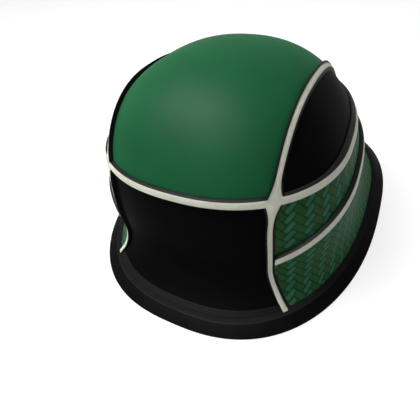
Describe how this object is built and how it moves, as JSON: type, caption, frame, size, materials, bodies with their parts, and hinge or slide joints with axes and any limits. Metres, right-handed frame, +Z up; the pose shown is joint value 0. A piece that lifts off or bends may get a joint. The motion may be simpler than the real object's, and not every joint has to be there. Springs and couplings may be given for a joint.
{
  "type": "sport helmet",
  "caption": "Open-face sport helmet with a flared skirt and rim all round, panelled shell with raised trim strips, foam liner, pads, dial fit band and chin strap.",
  "frame": {"origin": "under the middle of the rim, on the plane the rim stands on", "axes": "+Z up through the crown, -Y towards the front of the helmet, +X to the wearer's left"},
  "size_m": [0.26, 0.342, 0.167],
  "materials": {
    "rim_rubber": "moulded rubber, satin",
    "shell_black": "moulded thermoplastic, matt inside",
    "panel_green": "smooth lacquered panel, soft gloss",
    "panel_black": "smooth lacquered panel, gloss",
    "band_weave": "coated woven cloth in greens and olive, semi-gloss",
    "trim_black": "moulded trim, satin",
    "inlay_cream": "cream inlay strip, satin",
    "foam": "expanded bead foam, dark",
    "pad_cloth": "brushed knit over foam",
    "bracket_black": "moulded plastic, fine grain",
    "steel": "brushed",
    "webbing": "woven polyester webbing",
    "buckle_black": "moulded plastic, satin",
    "lever_red": "moulded plastic, semi-gloss",
    "dial_grey": "moulded plastic, satin",
    "rack_nylon": "nylon, satin"
  },
  "bodies": {
    "helmet": {"brim": "rim_rubber", "shell": "shell_black", "crown_panel": "panel_green", "front_panel": "panel_black", "side_panel_left": "panel_black", "side_panel_right": "panel_black", "upper_band": "band_weave", "lower_band": "band_weave", "belt_trim": "trim_black", "belt_inlay": "inlay_cream", "crown_trim_left": "trim_black", "crown_trim_right": "trim_black", "crown_inlay_left": "inlay_cream", "crown_inlay_right": "inlay_cream", "post_trim_left": "trim_black", "post_trim_right": "trim_black", "post_inlay_left": "inlay_cream", "post_inlay_right": "inlay_cream", "rail_trim": "trim_black", "rail_inlay": "inlay_cream", "foam_liner": "foam", "brow_pad": "pad_cloth", "rear_pad": "pad_cloth", "temple_pad_left": "pad_cloth", "temple_pad_right": "pad_cloth", "crown_pad": "pad_cloth", "anchor_left": "bracket_black", "anchor_right": "bracket_black", "anchor_rivets": "steel", "fit_yoke": "bracket_black", "fit_cover": "bracket_black", "fit_screws": "steel", "nape_pad": "pad_cloth"},
    "strap": {"strap_loop_left": "steel", "strap_loop_right": "steel", "strap_left": "webbing", "strap_right": "webbing", "buckle_socket": "buckle_black", "lever_pin": "steel", "chin_pad": "pad_cloth"},
    "tongue": {"buckle_tongue": "buckle_black"},
    "lever": {"release_lever": "lever_red"},
    "dial": {"fit_dial": "dial_grey"},
    "rack_left": {"fit_rack_left": "rack_nylon"},
    "rack_right": {"fit_rack_right": "rack_nylon"}
  },
  "joints": [
    {"name": "strap_swing", "type": "hinge", "parent": "helmet", "child": "strap", "pos_m": [0, -0.008, 0.032], "axis": [1, 0, 0], "range_deg": [0, 95]},
    {"name": "lever_lift", "type": "hinge", "parent": "strap", "child": "lever", "pos_m": [0.027, -0.11773, 0.01166], "axis": [0, -0.1822, 0.9833], "range_deg": [0, 30], "stiffness_Nm_per_rad": 0.05},
    {"name": "tongue_slide", "type": "slide", "parent": "strap", "child": "tongue", "axis": [-1, 0, 0], "range_m": [0, 0.024], "deforming": ["strap_right"]},
    {"name": "dial_turn", "type": "hinge", "parent": "helmet", "child": "dial", "pos_m": [0, 0.095, 0.022], "axis": [0, -1, 0], "range_deg": [0, 170]},
    {"name": "rack_left_slide", "type": "slide", "parent": "helmet", "child": "rack_left", "axis": [1, 0, 0], "range_m": [-0.012, 0]},
    {"name": "rack_right_slide", "type": "slide", "parent": "helmet", "child": "rack_right", "axis": [1, 0, 0], "range_m": [0, 0.012]}
  ],
  "couplings": [
    {"joint": "rack_left_slide", "follows": "dial_turn", "m_per_rad": -0.004},
    {"joint": "rack_right_slide", "follows": "dial_turn", "m_per_rad": 0.004}
  ]
}
